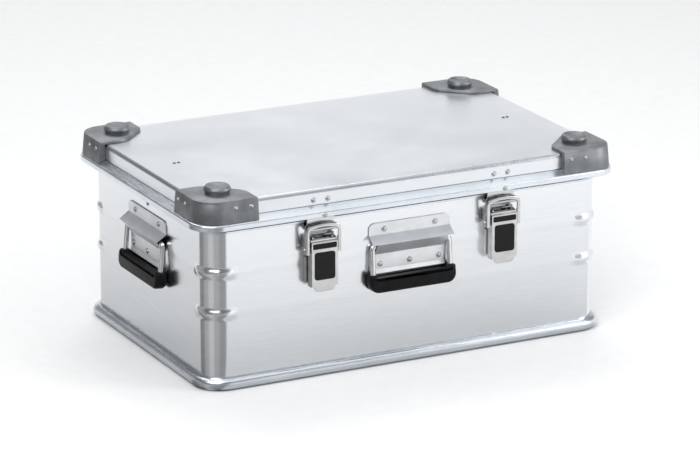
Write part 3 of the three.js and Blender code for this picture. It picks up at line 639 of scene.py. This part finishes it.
def build_corner(name, sx, sy):
    """A casting and its boss, mirrored to its corner."""
    plate = place("corner_" + name)[1].z - 10
    inner = plate_path(0)
    seat = seat_path(11.7, len(inner))
    levels = [
        corner_level(2.3, SEAT + 0.2, ledge + 0.3, seat),
        corner_level(2.7, SEAT + 4, ledge + 4, seat),
        corner_level(4.7, plate - 3.7, plate - 3.7, seat),
        corner_level(4.8, plate - 3.6, plate - 3.6, inner),
        corner_level(5.0, plate - 1.6, plate - 1.6, inner),
        corner_level(5.5, plate - 0.5, plate - 0.5, plate_path(0.5), 81.5),
        corner_level(6.6, plate, plate, plate_path(1.6), 80.4),
    ]
    bm = bmesh.new()
    loft(bm, [[(sx * (BRIM_X - a), sy * (BRIM_Y - b), z) for a, b, z in level] for level in levels])
    for v in bm.verts:
        v.tag = True
    boss = [(0, plate + 8.8), (11.6, plate + 9.0), (12.6, plate + 9.7), (13.4, plate + 10),
            (14.4, plate + 9.9), (15.4, plate + 9.2), (17.0, plate + 6.4), (17.4, plate + 5.4),
            (17.2, plate + 4.4), (15.4, plate + 1.0), (15.2, plate + 0.2), (15.8, plate - 0.4),
            (15.8, plate - 2), (0, plate - 2)]
    lathe(bm, boss, (sx * (BRIM_X - BOSS_IN), sy * (BRIM_Y - BOSS_IN), 0), (0, 0, 1), 40)
    finish_piece(bm, "casting_" + name, "lid", CASTING, ["corner_" + name], 0, 40)


for name, sx, sy in (("front_left", -1, -1), ("front_right", 1, -1), ("rear_right", 1, 1),
                     ("rear_left", -1, 1)):
    build_corner(name, sx, sy)

# %% [markdown]
# ## Rivets
# Solid rivets with low domed heads. Each is a profile spun round its own axis.


# %% Rivets
def rivet(bm, at, axis, radius, rise):
    """A flat flange on the sheet with a dome in its middle."""
    dome = [(0.7 * radius * cos(radians(a)), 0.3 + (rise - 0.3) * sin(radians(a)))
            for a in (0, 25, 50, 70)]
    lathe(bm, [(0, -0.4), (radius, -0.4), (radius, 0.1), (0.93 * radius, 0.35), (0.76 * radius, 0.35),
               *dome, (0, rise)], at, axis, 20)


CASTING_FACE, CASTING_ROW, CASTING_LEAN = 4.05, 239.5, -0.12
lid_rivets, case_rivets, lid_screws = bmesh.new(), bmesh.new(), bmesh.new()
for sx in (-1, 1):
    for sy in (-1, 1):
        for run in (51, 72):
            rivet(lid_rivets, (sx * (BRIM_X - run), sy * (BRIM_Y - CASTING_FACE), CASTING_ROW),
                  (0, sy, CASTING_LEAN), 3.4, 2.0)
            rivet(lid_rivets, (sx * (BRIM_X - CASTING_FACE), sy * (BRIM_Y - run), CASTING_ROW),
                  (sx, 0, CASTING_LEAN), 3.4, 2.0)
    for step in (-10, 10):  # above each latch, on the skirt
        rivet(lid_rivets, (sx * LATCH_X + step, -LID_Y, 233), (0, -1, 0), 3.8, 1.9)
    for step in (-3, 3):  # strap bracket, then the hinge's upper and lower leaf
        rivet(lid_screws, (sx * 240 + step, 0, lid_high.z), (0, 0, 1), 2.4, 1.2)
        rivet(lid_rivets, (sx * HINGE_X + 2 * step, 190.3, 237), (0, 1, 0), 2.8, 1.2)
        rivet(case_rivets, (sx * HINGE_X + 7 * step, 183.3, 180), (0, 1, 0), 3.2, 1.4)
    rivet(lid_rivets, (sx * LATCH_X, -BRIM_Y, 215.6), (0, -1, 0), 3.6, 1.5)  # keeper
    rivet(case_rivets, (sx * WALL_X, 0, 197.5), (sx, 0, 0), 3.6, 1.8)  # strap anchor

walls = {
    "front": on_wall(0, -WALL_Y, pi),
    "left": on_wall(-WALL_X, 0, pi / 2),
    "right": on_wall(WALL_X, 0, -pi / 2),
}
for matrix in walls.values():
    out = matrix.to_3x3() @ Vector((0, 1, 0))
    for x, z in ((-36.2, 180), (36.2, 180), (-42, 134.5), (0, 134.5), (42, 134.5)):
        rivet(case_rivets, matrix @ Vector((x, 1.8, z)), out, 4.2, 2.0)
finish_piece(lid_rivets, "lid_rivets", "lid", RIVET)
finish_piece(lid_screws, "lid_screws", "lid", SCREW)
finish_piece(case_rivets, "case_rivets", "case", RIVET)

# %% [markdown]
# ## Drop handles
# A bent steel wire turns inside the bracket's ridge, and a thick moulded grip is closed over its
# lower run. At rest the grip leans on the wall.

# %% Drop handles
PIVOT = Vector((0, 4.6, 160))
REACH = 51  # from the pivot to the grip's middle
WIRE_R, WIRE_HALF, WIRE_BEND = 3.5, 55, 7
GRIP_HALF, GRIP_HIGH, GRIP_DEEP, GRIP_CORNER, GRIP_EASE, EAR = 61, 9.75, 8, 12, 4, 4
WALL_GAP = 1.2
LEAN = asin((WALL_GAP + GRIP_DEEP - PIVOT.y) / REACH)


def mirrored(run):
    """A run of points followed by its mirror image."""
    return run + [(-x, z) for x, z in run[::-1]]


def wire_path():
    """The bail's centre line in its own frame, from one end to the other."""
    turns = [(-24, 0), (-WIRE_HALF, 0), (-WIRE_HALF, -REACH), (WIRE_HALF, -REACH), (WIRE_HALF, 0),
             (24, 0)]
    return [Vector((x, 0, z)) for x, z in eased(turns, WIRE_BEND, 6)]


def tube(bm, path, radius, sides, to_world):
    """A round bar along a path in the XZ plane."""
    loops = []
    for k, point in enumerate(path):
        ahead = path[min(k + 1, len(path) - 1)] - path[max(k - 1, 0)]
        side = Vector((0, 1, 0))
        up = ahead.normalized().cross(side)
        loops.append([to_world @ (point + (side * cos(a) + up * sin(a)) * radius)
                      for a in [2 * pi * j / sides for j in range(sides)]])
    loft(bm, loops)


def grip_level(depth, inset):
    """The grip's outline at one depth, drawn in by an inset."""
    low, high = -REACH - GRIP_HIGH, -REACH + GRIP_HIGH
    half, corner = GRIP_HALF - inset, GRIP_CORNER - inset
    right = arc(half - corner, low + inset + corner, corner, -90, 0, 8)
    right += [(half - 0.4, high + EAR - inset - 1.5), (half - 2, high + EAR - inset),
              (51.4 + inset, high + EAR - inset), (50.4 + inset, high - inset + 1.2),
              (48.5 + inset * 0.5, high - inset)]
    return [Vector((x, depth, z)) for x, z in mirrored(right)]


for name, wall in walls.items():
    swing = wall @ Matrix.Translation(PIVOT) @ Matrix.Rotation(LEAN, 4, "X")
    bm = bmesh.new()
    tube(bm, wire_path(), WIRE_R, 16, swing)
    finish_piece(bm, name + "_wire", name + "_handle", WIRE, [name + "_handle_bail"])
    bm = bmesh.new()
    back_half = [(-(GRIP_DEEP - GRIP_EASE + GRIP_EASE * sin(radians(a))),
                  GRIP_EASE - GRIP_EASE * cos(radians(a))) for a in (90, 67, 45, 22, 0)]
    front_half = [(-d, i) for d, i in back_half[::-1]]
    loft(bm, [[swing @ p for p in grip_level(d, i)] for d, i in back_half + front_half])
    finish_piece(bm, name + "_grip", name + "_handle", GRIP, [name + "_handle_grip"], 0, 50)

# %% [markdown]
# ## Toggle latches
# The lever is a bright plated channel with a rounded tongue for a finger. Its upper edge rolls back
# over the pivot. The bow is a band bent round the lever, and its top bar hooks over the keeper's roll.


# %% Toggle latches
LEVER_FACE = 19  # the lever's front, from the wall
GAUGE = 2  # thickness of the lever
KEEPER_HALF = 19


def slab(bm, wall, outline_xz, near, far):
    """A flat shape seen from the front, between two distances from the wall."""
    loft(bm, [[wall @ Vector((x, depth, z)) for x, z in outline_xz] for depth in (near, far)])


def profile(bm, wall, section, start, stop):
    """A section of (distance from the wall, height) carried along the wall."""
    loft(bm, [[wall @ Vector((x, depth, z)) for depth, z in section] for x in (start, stop)])


def rounded_box(half, low, high, corner, steps=6):
    """A rounded rectangle as (along, height) points."""
    return (arc(half - corner, high - corner, corner, 0, 90, steps)
            + arc(corner - half, high - corner, corner, 90, 180, steps)
            + arc(corner - half, low + corner, corner, 180, 270, steps)
            + arc(half - corner, low + corner, corner, 270, 360, steps))


def build_latch(name, wall):
    """One latch's lever, label plates, bow and keeper, on a wall frame at its middle."""
    low, high = place(name + "_latch_lever")
    foot, half, face = low.z + 6, (high.x - low.x) / 2, LEVER_FACE
    bm = bmesh.new()
    tongue = [(half, 179)] + [(half - 5 + x, z) for x, z in arc(0, foot + 5, 5, 0, -60, 4)]
    tongue += [(14.5, foot)] + arc(9.5, low.z + 5, 5, 0, -90, 5)
    slab(bm, wall, mirrored(tongue), face - GAUGE, face)
    profile(bm, wall, [(face, 178), (face, 179.5), (face - 0.8, 181.8), (face - 2.4, 183.7),
                       (face - 3.1, 184), (face - 3.4, 182.4), (face - 2.6, 181),
                       (face - GAUGE, 179), (face - GAUGE, 178)], -half, half)
    cheek = [(3, foot + 6), (8, foot), (face - 1, foot), (face - 1, 180), (14, 184)]
    cheek += arc(8, 181, 5, 60, 180, 8)
    for side in (-1, 1):
        profile(bm, wall, cheek, side * half, side * (half - GAUGE))
    finish_piece(bm, name + "_lever", name + "_lever", LATCH, [name + "_latch_lever"], 0.5)

    bm = bmesh.new()
    slab(bm, wall, rounded_box(16.6, 171.8, 179, 1.4), face + 0.1, face + 0.3)
    slab(bm, wall, rounded_box(14.2, 131.5, 167.5, 3.5), face + 0.1, face + 0.9)
    finish_piece(bm, name + "_label", name + "_lever", LABEL, [name + "_latch_label"], 0.2)

    bm = bmesh.new()
    run = [(24.5, 165), (24.5, 178)] + arc(15.5, 193.6, 9, 0, 80, 8)
    run = mirrored(run + [(12, 203.1), (8, 203.7), (4, 204)])
    section = [(0, 9.5), (0, 15.3), (0.4, 16.1), (1.2, 16.5), (4.2, 16.5), (4.6, 16.0), (4.2, 15.2),
               (1.8, 14.6), (1.8, 9.5)]
    loops = []
    for k, (x, z) in enumerate(run):
        ahead = Vector(run[min(k + 1, len(run) - 1)]) - Vector(run[max(k - 1, 0)])
        inward = Vector((-ahead.y, ahead.x)).normalized()
        loops.append([wall @ Vector((x + inward.x * n, depth, z + inward.y * n))
                      for n, depth in section])
    loft(bm, loops)
    profile(bm, wall, arc(13, 196.5, 2.4, 0, 360, 20)[:-1], -22.6, 22.6)
    for side in (-1, 1):
        eye = arc(10, 170, 5, 0, 360, 20)[:-1]
        profile(bm, wall, eye, side * 24.4, side * 21.8)
        profile(bm, wall, [(5, 170), (15, 170), (15.5, 184), (9.6, 184)], side * 24.3, side * 22)
    finish_piece(bm, name + "_bow", name + "_bow", LATCH, [name + "_latch_bow"], 0.2)

    bm = bmesh.new()
    roll = arc(4.6, 196.7, 3.9, -180, 40, 14) + [(7.5, 200), (7.5, 216), (5.5, 216), (5.5, 200.5)]
    roll += [(1.6, 199)]
    profile(bm, wall, roll, -KEEPER_HALF, KEEPER_HALF)
    finish_piece(bm, name + "_keeper", "lid", LATCH, [name + "_latch_keeper"], 0.3)


for name, x in (("left", -LATCH_X), ("right", LATCH_X)):
    build_latch(name, on_wall(x, -WALL_Y, pi))

# %% [markdown]
# ## Lid straps
# A strip of woven webbing joins each end wall to the lid and stops it at 95 degrees. Shut, it hangs
# folded in the case, and it is built here in that shut shape only.

# %% Lid straps
STRAP_TOP, STRAP_HALF, STRAP_SKIN, STRAP_INSET, STRAP_TIE = 198, 11, 0.7, 0.75, 2
for side, name in ((-1, "left"), (1, "right")):
    strap_low, strap_high = place(name + "_strap")
    outer, inner = max(abs(strap_low.x), abs(strap_high.x)), min(abs(strap_low.x), abs(strap_high.x))
    loop = (outer - inner) / 2
    middle = (outer + inner) / 2
    low = strap_low.z + loop
    turn = loop - STRAP_INSET
    line = [(outer - STRAP_INSET, STRAP_TOP - (STRAP_TOP - low) * k / 24) for k in range(25)]
    line += [(middle + turn * cos(radians(a)), low - turn * sin(radians(a))) for a in range(15, 180, 15)]
    line += [(inner + STRAP_INSET, low + (strap_high.z - low) * k / 30) for k in range(31)]
    bm = bmesh.new()
    rows = []
    for k, (x, z) in enumerate(line):
        ahead = Vector(line[min(k + 1, len(line) - 1)]) - Vector(line[max(k - 1, 0)])
        off = Vector((ahead.y, -ahead.x)).normalized() * STRAP_SKIN
        rows.append([(side * (x + way * off.x), way * y, z + way * off.y)
                     for way in (1, -1) for y in (-STRAP_HALF, STRAP_HALF)])
    loft(bm, rows)
    web = finish_piece(bm, name + "_webbing", None, STRAP, [name + "_strap"], 0, 50)
    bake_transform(web)

# %% [markdown]
# ## Carried over from CAD
# The pressed and turned pieces are already the right shape, so they only need their surfaces.

# %% Materials for the CAD pieces
finishes = {"bracket": BRACKET, "latch": LATCH, "label": LABEL, "seal": SEAL, "lid": LID,
            "profile": PROFILE, "wall": WALL, "casting": CASTING, "wire": WIRE, "grip": GRIP,
            "strap": STRAP}
slots = {row["node"]: row["material_slot"] for row in frame["record"]["subparts"]}
for node, thing in frame["nodes"].items():
    for socket in thing.material_slots:
        socket.material = finishes[slots[node]]
print(len(slots), "CAD nodes dressed")
